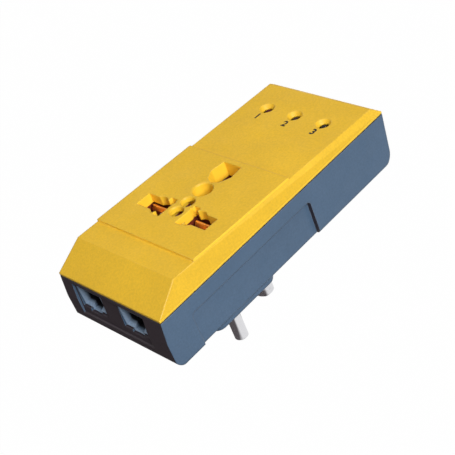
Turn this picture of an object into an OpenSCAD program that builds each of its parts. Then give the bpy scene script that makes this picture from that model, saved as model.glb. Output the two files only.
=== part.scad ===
// Plug-in appliance voltage protector: a flat box with a round-pin plug underneath,
// a universal outlet and three indicator lights on top and two telephone ports in front.
// Origin: centre of the pin pattern on the plug face. Z points up out of the lid,
// Y runs from the telephone ports to the lights, X across. Millimetres.

/* [Body] */
// case beyond the outlet's power openings, on each side
side_margin = 9; // [8:0.1:13]
// case behind the main board
back_room = 11.2; // [10.4:0.1:20]
// how far the relay stands up into the lid
relay_up = 1; // [0:0.1:1.2]
// wall of the base
wall = 2.4; // [2.2:0.1:2.6]
// wall of the lid
lid_wall = 1.8; // [1.4:0.1:2.4]
// radius along the long bottom edges
edge_r = 1.6; // [1:0.1:1.8]
// radius of the front bottom edge
front_r = 6.5; // [4:0.1:7]
// how far the front wall leans out towards the bottom
front_lean_l = 1.6; // [0:0.1:2]
// radius of the back bottom edge
back_r = 6; // [4:0.1:8]
// how far the back wall leans in
back_lean = 1.2; // [0:0.1:2]

/* [Lid] */
// height of the lid at its front top edge
lid_front_h = 8.2; // [7:0.1:10]
// height of the lid at its back top edge
lid_back_h = 3.5; // [3:0.1:5]
// length of the sloping front face in plan
lid_front_run = 11.4; // [8:0.1:14]
// length of the back slope in plan
lid_back_run = 3.1; // [2:0.1:5]
// how far each flank of the lid leans in
lid_bevel = 1.7; // [1:0.1:2.5]
// upright land at the parting line
lid_land = 0.8; // [0.5:0.1:1.2]
// rise of the outlet pad
pad_rise = 0.8; // [0.5:0.1:1.4]
// outlet pad in front of the power openings
pad_front = 15.6; // [12:0.1:18]
// outlet pad behind the earth opening's middle
pad_back = 7.6; // [7:0.1:11]
// height of the locating rim
rim_h = 0.8; // [0.5:0.1:0.8]
// thickness of the locating rim
rim_t = 0.9; // [0.7:0.1:1.2]
// height and depth of the shadow line under the lid
seam = 0.35; // [0.2:0.05:0.4]

/* [Grip] */
// depth of the hollow in each flank
grip_depth = 1.8; // [1:0.1:1.9]
// start of the hollow below the parting line
grip_drop = 6.4; // [5:0.1:9]
// front end of the hollow from the front
grip_start = 11.4; // [10:0.1:14]
// back end of the hollow from the front
grip_end = 69.9; // [66:0.1:74]
// corner radius of the hollow
grip_r = 1.5; // [0.5:0.1:3]

/* [Plug] */
// height of the plug block below the base
boss_h = 7; // [5:0.1:9]
// half width of the plug block at the power pins
boss_half = 19; // [17:0.1:20]
// half width of the plug block behind the earth pin
boss_tip_half = 9; // [8:0.1:11]
// plug block in front of the power pins
boss_front = 13.4; // [12:0.1:14]
// straight flank of the plug block behind the power pins
boss_flank = 13; // [10:0.1:15]
// plug block behind the earth pin
boss_back = 7.5; // [7:0.1:9]
// corner radius of the plug block
boss_r = 3.6; // [2:0.1:5]
// thickness of the plug face
boss_face_t = 3; // [2.4:0.1:3.4]
// distance from the front edge to the power pins
pin_row = 34.7; // [34:0.1:36]
// spacing of the power pins
pin_pitch = 19.05; // [19:0.01:19.1]
// distance from the power pins to the earth pin
earth_pitch = 22.2; // [22:0.1:22.4]
// diameter of the power pins
pin_d = 5.08; // [4.8:0.01:5.1]
// length of the power pins
pin_len = 19; // [14.9:0.1:19.5]
// diameter of the earth pin
earth_d = 7.06; // [6.8:0.01:7.1]
// length of the earth pin
earth_len = 20.6; // [18:0.1:21]
// rounding of the pin tips
pin_tip = 1.3; // [0.5:0.1:1.8]

/* [Outlet] */
// distance from the front edge to the outlet's power openings
socket_row = 36.2; // [35.5:0.1:37]
// depth of the outlet openings' own walls
socket_wall_h = 4; // [3.6:0.1:4.6]
// extra depth of the walls round the middle and earth openings
collar_h = 3.4; // [2:0.1:4]
// distance from the power openings to the earth opening
socket_earth = 22.3; // [22:0.1:22.6]
// inner end of each power opening from the centre line
slot_in = 4.2; // [4:0.1:4.6]
// outer end of each power opening from the centre line
slot_out = 17; // [16.4:0.1:17.4]
// height of the flat-blade part of the opening
slot_tall = 9.6; // [8.6:0.1:10]
// width of the flat-blade part of the opening
slot_narrow = 3; // [2.6:0.1:3.4]
// height of the wide part of the opening
slot_low = 6.2; // [5.6:0.1:6.8]
// radius of the two small middle holes
mid_hole_r = 2.5; // [2.2:0.1:2.6]
// step from the lower middle hole to the upper one
mid_hole_step = 5.5; // [5:0.1:5.6]
// radius of the large middle hole
big_hole_r = 3.6; // [3.2:0.1:3.8]
// large middle hole from the power openings
big_hole_at = 12.7; // [12.4:0.1:13]

// how much the round holes widen at their mouths
mouth_w = 0.4; // [0.2:0.05:0.5]
// thickness of the lid round the two small holes
thin_h = 2.4; // [2:0.1:3]

/* [Lights] */
// distance of the lights from the back edge of the main board
lamp_in = 5; // [4:0.1:7]
// distance of the lights from the relay
lamp_out = 2.4; // [2.3:0.1:3]
// spacing of the lights
lamp_pitch = 13.6; // [12:0.1:15]
// diameter of the dished rim
dish_d = 6; // [5:0.1:7]
// depth of the dished rim
dish_h = 1.25; // [1:0.05:1.5]
// diameter of a lamp body
lamp_d = 3; // [2.9:0.1:3]
// height of a lamp body
lamp_h = 5.2; // [4.5:0.1:5.6]

/* [Telephone ports] */
// middle of the pair of ports from the centre line
port_mid = -1.8; // [-3:0.1:0]
// spacing of the ports
port_pitch = 22; // [21:0.1:23]
// width of a port opening
port_w = 9.8; // [9.4:0.1:10]
// height of a port opening
port_h = 6.8; // [6.6:0.1:7]
// top of a port opening below the parting line
port_top = 3; // [2.8:0.1:3.4]
// how much a port opening widens towards the front
port_flare = 1.1; // [0.8:0.1:1.3]
// width of the latch notch
latch_w = 4.6; // [4:0.1:5.4]
// height of the latch notch
latch_h = 2.2; // [1.6:0.1:2.4]
// depth of the shallow recess around the ports
recess_t = 0.7; // [0.4:0.1:1]
// margin of the shallow recess around the ports
recess_m = 1.4; // [1:0.1:1.5]
// depth of a port housing
jack_l = 11.8; // [11:0.1:12]

/* [Board] */
// thickness of the circuit boards
board_t = 1.6; // [1.2:0.1:1.6]
// room beside the main board
board_side = 2.1; // [1.6:0.1:3]
// gap between the contact holder and the main board
board_gap = 0.9; // [0.6:0.1:1.4]
// height of the board posts over the base floor
post_h = 3.4; // [3:0.1:3.8]

/* [Relay] */
// width of the relay case
relay_w = 15.6; // [15.2:0.1:15.8]
// height of the relay case
relay_h = 14.6; // [14.2:0.1:14.8]
// diameter of the coil winding
coil_d = 8.4; // [8:0.1:8.8]
// height of the coil winding
coil_h = 6.8; // [6.4:0.1:6.9]
// air gap of the armature at rest
armature_gap = 0.5; // [0.3:0.05:0.6]

/* [Hidden] */
$fn = 48;
over = 1;
fit_gap = 0.3;

// sizes of the relay that set the length of its case
coil_y = 0;
flange_rim = 0.2;
yoke_gap = 0.6;
yoke_t = 1.2;
armature_past = 0.8;
contact_clear = 1.1;
stud_r = 1;
relay_wall = 0.8;
relay_in = 6.8;

// overall sizes
base_h = wall + post_h + board_t + relay_h - relay_up;
parting = boss_h + base_h;
body_w = 2 * (slot_out + side_margin);
block_front = 8.4;
block_back = 8.2;
board_start = socket_row + socket_earth + block_back + board_gap;
flange_d = coil_d + 2 * flange_rim;
pivot_y = coil_y - flange_d / 2 - yoke_gap - yoke_t;
armature_l = flange_d / 2 - pivot_y + armature_past;
blade_l = flange_d / 2 - pivot_y + contact_clear + 2 * stud_r;
relay_l = 2 * (pivot_y + blade_l + stud_r + fit_gap + relay_wall);
board_l = relay_in + relay_l + lamp_out + lamp_in;
board_end = board_start + board_l;
body_l = board_end + back_room;
lamp_row = board_end - lamp_in;
pad_start = socket_row - pad_front;
pad_end = socket_row + socket_earth + pad_back;
y_front = -(pin_row + earth_pitch / 2);
y_back = y_front + body_l;
floor_z = boss_h + wall;
slope = atan((lid_front_h - lid_back_h) / (body_l - lid_front_run - lid_back_run));
top_l = (body_l - lid_front_run - lid_back_run) / cos(slope);
lid_top_half = body_w / 2 - lid_bevel;
slice = 0.1;
row_y = y_front + pin_row;
out_y = y_front + socket_row;
lamp_y = y_front + lamp_row;

// screws
screw_side = 5.7;
screw_x = body_w / 2 - screw_side;
column_r = 3;
column_gap = 0.6;
screw_front = wall + jack_l + column_gap + column_r;
screw_end = 6.6;
screw_back = body_l - screw_end;
column_sunk = 0.6;
rim_in = lid_wall + fit_gap;
screw_r = 1.45;
screw_head_r = 2.6;
screw_head_h = 1.8;
screw_bite = 2.8;
screw_len = base_h - screw_head_h + screw_bite;
bore_r = screw_r + fit_gap;

// outlet block under the lid
collar_t = 0.8;
collar_start = big_hole_at - big_hole_r - collar_t;
pocket_side = 0.8;
collar_half = 5.9;
collar_back = 6.3;
collar_l = socket_earth + collar_back - collar_start;
block_side = 3.6;
block_half = slot_out + block_side;
block_z = out_top(socket_row) - socket_wall_h;
carrier_h = 14.4;
carrier_z = block_z - carrier_h;
carrier_side = 3;
carrier_half = slot_out + carrier_side;
leaf_t = 0.6;
leaf_gap = 4.2;
clip_z = 1.2;
leaf_h = carrier_h - clip_z - fit_gap;
clip_half_l = 5.6;
earth_half_l = 5;
clip_in = 6.1;
clip_x = slot_out - clip_in;

// height of the lid surface over the parting line, at a distance from the front
function lid_z(d) = parting + lid_front_h - tan(slope) * (d - lid_front_run);
function out_top(d) = lid_z(d) + pad_rise;

// a slab with its middle on the Z axis, standing on the XY plane
module slab(w, l, h) {
    translate([-w / 2, -l / 2, 0]) cube([w, l, h]);
}

// a wire of straight runs with slightly swollen round elbows
elbow_share = 1.12;
module wire(points, d) {
    for (i = [0 : len(points) - 2]) {
        a = points[i];
        b = points[i + 1];
        run = b - a;
        reach = norm(run);
        translate(a) rotate([0, acos(run[2] / reach), atan2(run[1], run[0])])
            cylinder(d = d, h = reach, $fn = 16);
    }
    for (i = [1 : len(points) - 2]) translate(points[i]) sphere(d = d * elbow_share, $fn = 16);
}

// Lid

// outer form of the lid, shrunk by t on every side
module lid_form(t) {
    hull() {
        translate([-body_w / 2 + t, y_front + t, parting - (t > 0 ? over : 0)])
            cube([body_w - 2 * t, body_l - 2 * t, lid_land + (t > 0 ? over : 0)]);
        translate([0, y_front + lid_front_run, parting + lid_front_h - t]) rotate([-slope, 0, 0])
            translate([-lid_top_half + t, t / 2, -slice])
                cube([2 * lid_top_half - 2 * t, top_l - t, slice]);
    }
}

// the raised pad, following the slope of the lid
module pad() {
    translate([0, y_front + lid_front_run, parting + lid_front_h]) rotate([-slope, 0, 0])
        translate([-lid_top_half, (pad_start - lid_front_run) / cos(slope), -lid_wall / 2])
            cube([2 * lid_top_half, (pad_end - pad_start) / cos(slope), lid_wall / 2 + pad_rise]);
}

// plan of one power opening: flat blades, slanted blades, round pins and flat-sided pins
module power_slot() {
    low_w = slot_out - slot_in - slot_narrow / 2;
    slant = 30;
    slant_x = 6.9;
    slant_w = 2.4;
    slant_l = 9;
    round_x = 9.6;
    round_r = 3.1;
    round_up = 1;
    translate([slot_in, -slot_tall / 2]) square([slot_narrow, slot_tall]);
    translate([slot_out - low_w, -slot_low / 2]) square([low_w, slot_low]);
    translate([slant_x, 0]) rotate(slant) translate([-slant_w / 2, -slant_l / 2])
        square([slant_w, slant_l]);
    translate([round_x, round_up]) circle(r = round_r);
}

// plan of the earth opening
module earth_slot() {
    top_half = 4.2;
    top_y = 5.3;
    wide_half = 4.9;
    wide_y = -0.5;
    low_half = 2.8;
    low_y = -4.3;
    tip_y = -5.7;
    polygon([[-top_half, top_y], [-wide_half, wide_y], [-low_half, low_y], [0, tip_y],
             [low_half, low_y], [wide_half, wide_y], [top_half, top_y]]);
}

module outlet_plan() {
    power_slot();
    mirror([1, 0]) power_slot();
    circle(r = mid_hole_r);
    translate([0, mid_hole_step]) circle(r = mid_hole_r);
    translate([0, big_hole_at]) circle(r = big_hole_r);
    translate([0, socket_earth]) earth_slot();
}

module lid() {
    block_l = block_front + socket_earth + block_back;
    lid_column_h = lid_back_h + lid_wall;
    color("#dca93a") difference() {
        union() {
            difference() {
                union() {
                    lid_form(0);
                    pad();
                }
                lid_form(lid_wall);
            }
            // block that forms the walls of the openings
            intersection() {
                union() {
                    lid_form(0);
                    pad();
                }
                translate([0, out_y - block_front + block_l / 2, block_z])
                    slab(2 * block_half, block_l, body_l);
            }
            // deeper walls round the middle and earth openings
            translate([0, out_y + collar_start + collar_l / 2, block_z - collar_h])
                slab(2 * collar_half, collar_l, collar_h + slice);
            // columns that take the case screws
            intersection() {
                lid_form(0);
                for (sx = [-1, 1]) for (d = [screw_front, screw_back])
                    translate([sx * screw_x, y_front + d, parting])
                        cylinder(r = column_r, h = body_l);
            }
        }
        translate([0, out_y, block_z - collar_h - over]) linear_extrude(body_l) outlet_plan();
        // mouths of the round holes
        for (m = [[0, mid_hole_r], [mid_hole_step, mid_hole_r], [big_hole_at, big_hole_r]])
            translate([0, out_y + m[0], out_top(socket_row + m[0])]) rotate([-slope, 0, 0])
                translate([0, 0, -2 * mouth_w])
                    cylinder(r1 = m[1] - mouth_w, r2 = m[1] + 3 * mouth_w, h = 4 * mouth_w);
        // the lid is thinner round the two small holes
        translate([0, out_y + (collar_start - mid_hole_r - pocket_side) / 2, block_z - over])
            slab(2 * (mid_hole_r + pocket_side), collar_start + mid_hole_r + pocket_side,
                 socket_wall_h - thin_h + over);
        // lights
        for (i = [-1, 0, 1]) translate([i * lamp_pitch, lamp_y, lid_z(lamp_row)])
            rotate([-slope, 0, 0]) {
                translate([0, 0, -dish_h]) cylinder(d1 = lamp_d + 2 * fit_gap, d2 = dish_d, h = dish_h);
                translate([0, 0, -lid_column_h]) cylinder(d = lamp_d + 2 * fit_gap, h = 2 * lid_column_h);
            }
        for (sx = [-1, 1]) for (d = [screw_front, screw_back])
            translate([sx * screw_x, y_front + d, parting - over])
                cylinder(r = bore_r, h = screw_len - base_h + screw_head_h + over + fit_gap);
        // bores of the carrier screws
        for (sx = [-1, 1]) translate([sx * hold_x, out_y + hold_y, block_z - over])
            cylinder(r = hold_r + fit_gap, h = over + hold_in + fit_gap);
    }
}

// Base

// side view of the base, from the front edge backwards and down from the parting line
module base_side() {
    hull() {
        translate([0, -slice]) square([body_l, slice]);
        translate([front_r - front_lean_l, -base_h + front_r]) circle(r = front_r);
        translate([body_l - back_lean - back_r, -base_h + back_r]) circle(r = back_r);
    }
}

// end view of the base
module base_end() {
    hull() {
        translate([-body_w / 2, -slice]) square([body_w, slice]);
        for (sx = [-1, 1]) translate([sx * (body_w / 2 - edge_r), -base_h + edge_r])
            circle(r = edge_r);
    }
}

module base_form() {
    intersection() {
        translate([-body_w / 2 - over, y_front, parting]) rotate([90, 0, 90])
            linear_extrude(body_w + 2 * over) base_side();
        translate([0, y_back + over, parting]) rotate([90, 0, 0])
            linear_extrude(body_l + 2 * over) base_end();
    }
}

// room inside the base, with bevelled bottom corners
module base_room() {
    back = body_l - wall - back_lean;
    translate([-body_w / 2 + wall, y_front, parting]) rotate([90, 0, 90])
        linear_extrude(body_w - 2 * wall)
            polygon([[wall, over], [wall, -base_h + wall + front_r / 2],
                     [wall + front_r / 2, -base_h + wall],
                     [back - back_r / 2, -base_h + wall],
                     [back, -base_h + wall + back_r / 2], [back + back_lean, over]]);
}

// side view of a flank's hollow, grown by t
module grip_side(t) {
    r = grip_r + t;
    l = grip_end - grip_start + 2 * t;
    h = base_h + over - grip_drop + t;
    translate([grip_start - t, -base_h - over]) {
        square([l, h - r]);
        translate([r, 0]) square([l - 2 * r, h]);
        for (d = [r, l - r]) translate([d, h - r]) circle(r = r);
    }
}

// the hollows of both flanks, moved inwards by t
module grips(t) {
    for (sx = [-1, 1]) scale([sx, 1, 1])
        translate([body_w / 2 - grip_depth - t, y_front, parting]) rotate([90, 0, 90])
            linear_extrude(grip_depth + t + over) grip_side(t);
}

// plan of the plug block, shrunk by t
module boss_plan(t) {
    r = boss_r - t;
    far = earth_pitch + boss_back - boss_r;
    hull() for (sx = [-1, 1]) {
        translate([sx * (boss_half - boss_r), -boss_front + boss_r]) circle(r = r, $fn = 32);
        translate([sx * (boss_half - boss_r), boss_flank]) circle(r = r, $fn = 32);
        translate([sx * (boss_tip_half - boss_r), far]) circle(r = r, $fn = 32);
    }
}

// a port opening with its latch notch, seen from the front
module port_plan() {
    translate([-port_w / 2, -port_h]) square([port_w, port_h]);
    translate([-latch_w / 2, -port_h - latch_h]) square([latch_w, port_h]);
}

// outline of the nose of a port housing, seen from the front, grown by t
module nose_plan(t) {
    side = port_flare + nose_rim + t;
    translate([-port_w / 2 - side, -port_h - side])
        square([port_w + 2 * side, port_h + side + nose_rim + t]);
    translate([-latch_w / 2 - nose_rim - t, -port_h - latch_h - nose_rim - t])
        square([latch_w + 2 * nose_rim + 2 * t, latch_h]);
}

// side view of the shallow recess, parallel to the leaning front
module recess_side(h) {
    top = -port_top + recess_m;
    low = top - h;
    polygon([[-front_lean_l - over, top], [recess_t + front_lean_l * top / base_h, top],
             [recess_t + front_lean_l * low / base_h, low], [-front_lean_l - over, low]]);
}

module base() {
    recess_w = port_pitch + port_w + 2 * port_flare + 2 * recess_m;
    recess_h = port_h + latch_h + port_flare + 2 * recess_m;
    inner_w = body_w - 2 * wall;
    color("#54687f") difference() {
        union() {
            difference() {
                union() {
                    difference() {
                        base_form();
                        grips(0);
                    }
                    translate([0, row_y, 0]) linear_extrude(boss_h + wall) boss_plan(0);
                }
                difference() {
                    base_room();
                    grips(wall);
                }
                translate([0, row_y, boss_face_t]) linear_extrude(base_h) boss_plan(wall);
            }
            // locating rim inside the lid
            difference() {
                translate([0, y_front + body_l / 2, parting - rim_h])
                    slab(body_w - 2 * rim_in, body_l - 2 * rim_in, 2 * rim_h);
                translate([0, y_front + body_l / 2, parting - rim_h - over])
                    slab(body_w - 2 * rim_in - 2 * rim_t, body_l - 2 * rim_in - 2 * rim_t,
                         2 * rim_h + 2 * over);
            }
            // screw columns
            for (sx = [-1, 1]) for (d = [screw_front, screw_back])
                translate([sx * screw_x, y_front + d, floor_z - column_sunk])
                    cylinder(r = column_r, h = parting - floor_z + column_sunk);
            // board posts
            for (sx = [-1, 1]) for (d = [post_front, post_back])
                translate([sx * post_x, y_front + d, boss_h + wall / 2])
                    cylinder(r = post_r, h = post_h + wall / 2);
            // rails under the port board
            for (sx = [-1, 1]) translate([port_mid + sx * rail_x, y_front + rail_d, boss_h + wall / 2])
                slab(rail_w, rail_l, port_board_z - boss_h - wall / 2);
        }
        // shadow line under the lid
        translate([0, y_front + body_l / 2, parting - seam]) difference() {
            slab(body_w + 2 * over, body_l + 2 * over, seam + over);
            translate([0, 0, -over]) slab(body_w - 2 * seam, body_l - 2 * seam, seam + 3 * over);
        }
        // pins
        for (sx = [-1, 1]) translate([sx * pin_pitch / 2, row_y, -over])
            cylinder(r = pin_d / 2 + root_extra + fit_gap, h = boss_face_t + 2 * over);
        translate([0, row_y + earth_pitch, -over])
            cylinder(r = earth_d / 2 + root_extra + fit_gap, h = boss_face_t + 2 * over);
        // ports
        for (sx = [-1, 1]) translate([port_mid + sx * port_pitch / 2, y_front + wall + over,
                                      parting - port_top])
            rotate([90, 0, 0]) linear_extrude(wall + front_lean_l + 2 * over) nose_plan(fit_gap);
        translate([port_mid - recess_w / 2, y_front, parting]) rotate([90, 0, 90])
            linear_extrude(recess_w) recess_side(recess_h);
        // case screws
        for (sx = [-1, 1]) for (d = [screw_front, screw_back])
            translate([sx * screw_x, y_front + d, 0]) {
                cylinder(r = bore_r, h = parting + over);
                cylinder(r = screw_head_r + fit_gap, h = boss_h + screw_head_h);
            }
        // room in the rim for the lid's own columns
        for (sx = [-1, 1]) for (d = [screw_front, screw_back])
            translate([sx * screw_x, y_front + d, parting])
                slab(2 * screw_side, 2 * column_r + 2 * fit_gap, rim_h + over);
        // board screws
        for (sx = [-1, 1])
            translate([sx * post_x, y_front + (sx < 0 ? post_front : post_back), boss_h + wall])
                cylinder(r = hold_r + fit_gap, h = post_h + over);
        // clamp screws
        for (sx = [-1, 1]) translate([sx * clamp_x, row_y + clamp_y, boss_face_t - clamp_bite])
            cylinder(r = hold_r + fit_gap, h = clamp_bite + over);
    }
}

// small screws and their places
hold_r = 1.1;
hold_head_r = 2;
hold_head_h = 1.2;
hold_in = 2;
screw_edge = 0.3;
hold_x = carrier_half - hold_head_r - fit_gap - screw_edge;
hold_y = 17;
board_w = body_w - 2 * wall - 2 * board_side;
post_in = 2.7;
post_end = 3;
post_x = board_w / 2 - post_in;
post_r = 2.4;
post_front = board_start + post_end;
post_back = board_end - post_end;
rail_x = 14;
rail_w = 3;
rail_l = 9;
rail_d = 8;
clamp_x = 12.8;
clamp_y = 10;
clamp_bite = 2;
board_z = boss_h + wall + post_h;
port_board_t = 1.2;
jack_floor = 0.8;
nose_rim = 0.3;
nose_in = 0.5;
jack_side = 0.6;
jack_w = port_w + 2 * (port_flare + nose_rim + jack_side);
jack_top = 1.2;
port_board_z = parting - port_top - port_h - latch_h - port_board_t - jack_floor;

// Plug

flange_h = 1.4;
root_extra = 0.4;
flange_extra = 1.4;
tail_d = 2.6;
tail_h = 6.4;

// the root inside the plug face is a little thicker than the bare pin
module plug_pin(d, l) {
    rotate_extrude() polygon([[0, -l], [d / 2 - pin_tip, -l], [d / 2, -l + pin_tip], [d / 2, 0],
                              [d / 2 + root_extra, 0], [d / 2 + root_extra, boss_face_t],
                              [d / 2 + flange_extra, boss_face_t],
                              [d / 2 + flange_extra, boss_face_t + flange_h],
                              [tail_d / 2, boss_face_t + flange_h],
                              [tail_d / 2, boss_face_t + flange_h + tail_h],
                              [0, boss_face_t + flange_h + tail_h]]);
}

module line_pin() {
    color("#d9dade") translate([pin_pitch / 2, row_y, 0]) plug_pin(pin_d, pin_len);
}

module neutral_pin() {
    color("#d9dade") translate([-pin_pitch / 2, row_y, 0]) plug_pin(pin_d, pin_len);
}

module earth_pin() {
    color("#d9dade") translate([0, row_y + earth_pitch, 0]) plug_pin(earth_d, earth_len);
}

// plate that holds the pin flanges down inside the plug block
clamp_t = 2.2;

module pin_clamp() {
    rest = boss_face_t + flange_h;
    color("#1f2226") difference() {
        union() {
            translate([0, row_y, rest]) linear_extrude(clamp_t) boss_plan(wall + fit_gap);
            // feet under the clamp screws
            for (sx = [-1, 1]) translate([sx * clamp_x, row_y + clamp_y, boss_face_t])
                cylinder(r = hold_head_r + fit_gap, h = flange_h + clamp_t / 2);
        }
        for (sx = [-1, 1]) {
            translate([sx * pin_pitch / 2, row_y, 0]) cylinder(d = tail_d + 2 * fit_gap, h = parting);
            translate([sx * clamp_x, row_y + clamp_y, 0]) cylinder(r = hold_r + fit_gap, h = parting);
        }
        translate([0, row_y + earth_pitch, 0]) cylinder(d = tail_d + 2 * fit_gap, h = parting);
    }
}

// a round-headed screw pointing down, seated with its head on z = 0
module small_screw(r, l, head_r, head_h) {
    slot_w = 0.5;
    difference() {
        union() {
            translate([0, 0, -l]) cylinder(r = r, h = l);
            cylinder(r1 = head_r, r2 = head_r - head_h / 3, h = head_h);
        }
        for (a = [0, 90]) rotate(a) translate([0, 0, head_h / 2])
            slab(slot_w, head_r + head_h / 2, head_h);
    }
}

module clamp_screws() {
    color("#b9bcc2") for (sx = [-1, 1])
        translate([sx * clamp_x, row_y + clamp_y, boss_face_t + flange_h + clamp_t])
            small_screw(hold_r, flange_h + clamp_t + clamp_bite - fit_gap, hold_head_r, hold_head_h);
}

// Outlet contacts

module contact_carrier() {
    l = block_front + socket_earth + block_back;
    pocket_w = 14.6;
    pocket_l = 8.4;
    earth_w = 9.2;
    earth_l = 12;
    mid_w = 6.4;
    mid_l = 18;
    floor_t = 1.2;
    slot_w = 2;
    color("#26282c") difference() {
        translate([0, out_y - block_front + l / 2, carrier_z]) slab(2 * carrier_half, l, carrier_h);
        for (sx = [-1, 1]) translate([sx * clip_x, out_y, carrier_z + floor_t])
            slab(pocket_w, pocket_l, carrier_h);
        translate([0, out_y + socket_earth, carrier_z + floor_t]) slab(earth_w, earth_l, carrier_h);
        translate([0, out_y + mid_l / 2 - mid_hole_r, block_z - carrier_h / 2])
            slab(mid_w, mid_l, carrier_h);
        // room for the deeper walls of the lid
        translate([0, out_y + collar_start + collar_l / 2, block_z - collar_h - fit_gap])
            slab(2 * collar_half + 2 * fit_gap, collar_l + 2 * fit_gap, carrier_h);
        // slots for the solder tails
        for (sx = [-1, 1]) translate([sx * clip_x, out_y, carrier_z - over])
            slab(slot_w + 2 * fit_gap, leaf_t + 2 * fit_gap, floor_t + 2 * over);
        translate([0, out_y + socket_earth, carrier_z - over])
            slab(leaf_t + 2 * fit_gap, slot_w + 2 * fit_gap, floor_t + 2 * over);
        for (sx = [-1, 1]) translate([sx * hold_x, out_y + hold_y, carrier_z - over]) {
            cylinder(r = hold_r + fit_gap, h = carrier_h + 2 * over);
            cylinder(r = hold_head_r + fit_gap, h = over + carrier_h / 2);
        }
        // clear of the board end
        translate([0, out_y - block_front + l, carrier_z - over]) slab(2 * body_w, slot_w, over);
    }
}

// spring clip: two leaves on a floor strip, closing towards the top, with a tail below
module clip(half_l, h, tail_z) {
    lead = 1.4;
    tail_w = 2;
    tail_l = carrier_z + clip_z - tail_z;
    pinch = 0.9;
    slab(2 * half_l, leaf_gap + 2 * leaf_t, leaf_t);
    for (sy = [-1, 1]) scale([1, sy, 1]) translate([-half_l, 0, 0]) rotate([90, 0, 90])
        linear_extrude(2 * half_l)
            polygon([[leaf_gap / 2, 0], [leaf_gap / 2 + leaf_t, 0],
                     [leaf_gap / 2 + leaf_t - pinch, h - lead],
                     [leaf_gap / 2 + leaf_t, h], [leaf_gap / 2, h],
                     [leaf_gap / 2 - pinch, h - lead]]);
    translate([0, 0, -tail_l]) slab(tail_w, leaf_t, tail_l + leaf_t / 2);
}

module line_contact() {
    color("#c08a3e") translate([clip_x, out_y, carrier_z + clip_z])
        clip(clip_half_l, leaf_h, board_z + board_t / 4);
}

module neutral_contact() {
    color("#c08a3e") translate([-clip_x, out_y, carrier_z + clip_z])
        clip(clip_half_l, leaf_h, carrier_z - 2 * lead_d);
}

module earth_contact() {
    color("#c08a3e") translate([0, out_y + socket_earth, carrier_z + clip_z])
        rotate([0, 0, 90]) clip(earth_half_l, leaf_h - collar_h, carrier_z - 2 * lead_d);
}

module carrier_screws() {
    color("#b9bcc2") for (sx = [-1, 1])
        translate([sx * hold_x, out_y + hold_y, carrier_z + carrier_h / 2])
            rotate([180, 0, 0]) small_screw(hold_r, carrier_h / 2 + hold_in, hold_head_r, hold_head_h);
}

module case_screws() {
    color("#b9bcc2") for (sx = [-1, 1]) for (d = [screw_front, screw_back])
        translate([sx * screw_x, y_front + d, boss_h + screw_head_h])
            rotate([180, 0, 0]) small_screw(screw_r, screw_len, screw_head_r, screw_head_h - fit_gap);
}

// Main board

relay_edge = 1.5;
relay_x = -board_w / 2 + relay_edge + relay_w / 2;
relay_d = board_start + relay_in + relay_l / 2;
relay_z = board_z + board_t;
relay_y = y_front + relay_d;

module main_board() {
    color("#2f6b3c") difference() {
        translate([0, y_front + board_start + board_l / 2, board_z]) slab(board_w, board_l, board_t);
        for (sx = [-1, 1]) translate([sx * post_x, y_front + (sx < 0 ? post_front : post_back), 0])
            cylinder(r = hold_r + fit_gap, h = parting);
    }
}

module board_screws() {
    color("#b9bcc2") for (sx = [-1, 1])
        translate([sx * post_x, y_front + (sx < 0 ? post_front : post_back), board_z + board_t])
            small_screw(hold_r, board_t + post_h - fit_gap, hold_head_r, hold_head_h);
}

// Relay
// the case stands on the board; its length runs along Y

relay_floor = 1.6;
yoke_w = 9;
core_d = 3.4;
flange_t = 0.7;
core_proud = 0.2;
core_top = relay_floor + yoke_t + flange_t + coil_h + flange_t + core_proud;
tube_t = 0.6;
armature_t = 1;

module at_relay() {
    translate([relay_x, relay_y, relay_z]) children();
}

module relay_base() {
    lip = relay_wall + fit_gap;
    color("#22304a") at_relay() slab(relay_w - 2 * lip, relay_l - 2 * lip, relay_floor);
}

module relay_yoke() {
    color("#9ea3aa") at_relay() {
        translate([0, (coil_y + flange_d / 2 + pivot_y) / 2, relay_floor])
            slab(yoke_w, coil_y + flange_d / 2 - pivot_y, yoke_t);
        translate([0, pivot_y + yoke_t / 2, relay_floor]) slab(yoke_w, yoke_t, core_top - relay_floor);
        translate([0, coil_y, relay_floor]) cylinder(d = core_d, h = core_top - relay_floor);
    }
}

module relay_bobbin() {
    inner = core_d / 2 + fit_gap;
    tube = tube_t;
    z0 = relay_floor + yoke_t;
    color("#d8d2c0") at_relay() translate([0, coil_y, z0]) rotate_extrude()
        polygon([[inner, 0], [flange_d / 2, 0], [flange_d / 2, flange_t], [inner + tube, flange_t],
                 [inner + tube, flange_t + coil_h], [flange_d / 2, flange_t + coil_h],
                 [flange_d / 2, 2 * flange_t + coil_h], [inner, 2 * flange_t + coil_h]]);
}

module relay_winding() {
    inner = core_d / 2 + 2 * fit_gap + tube_t;
    z0 = relay_floor + yoke_t + flange_t;
    color("#a9552c") at_relay() translate([0, coil_y, z0]) rotate_extrude()
        polygon([[inner, 0], [coil_d / 2, 0], [coil_d / 2, coil_h], [inner, coil_h]]);
}

// rests on the edge of the yoke, its free end lifted off the core
module relay_armature() {
    tilt = asin(armature_gap / (coil_y - pivot_y));
    color("#b4b8be") at_relay() translate([0, pivot_y, core_top]) rotate([tilt, 0, 0])
        translate([-yoke_w / 2, 0, 0]) cube([yoke_w, armature_l, armature_t]);
}

blade_t = 0.3;
blade_w = 4;
stud_h = 0.7;

module relay_moving_contact() {
    tilt = asin(armature_gap / (coil_y - pivot_y));
    color("#c08a3e") at_relay() translate([0, pivot_y, core_top]) rotate([tilt, 0, 0]) {
        translate([-blade_w / 2, armature_l / 4, armature_t])
            cube([blade_w, blade_l - armature_l / 4, blade_t]);
        translate([0, blade_l - stud_r, armature_t - stud_h]) cylinder(r = stud_r, h = stud_h, $fn = 24);
    }
}

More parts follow.
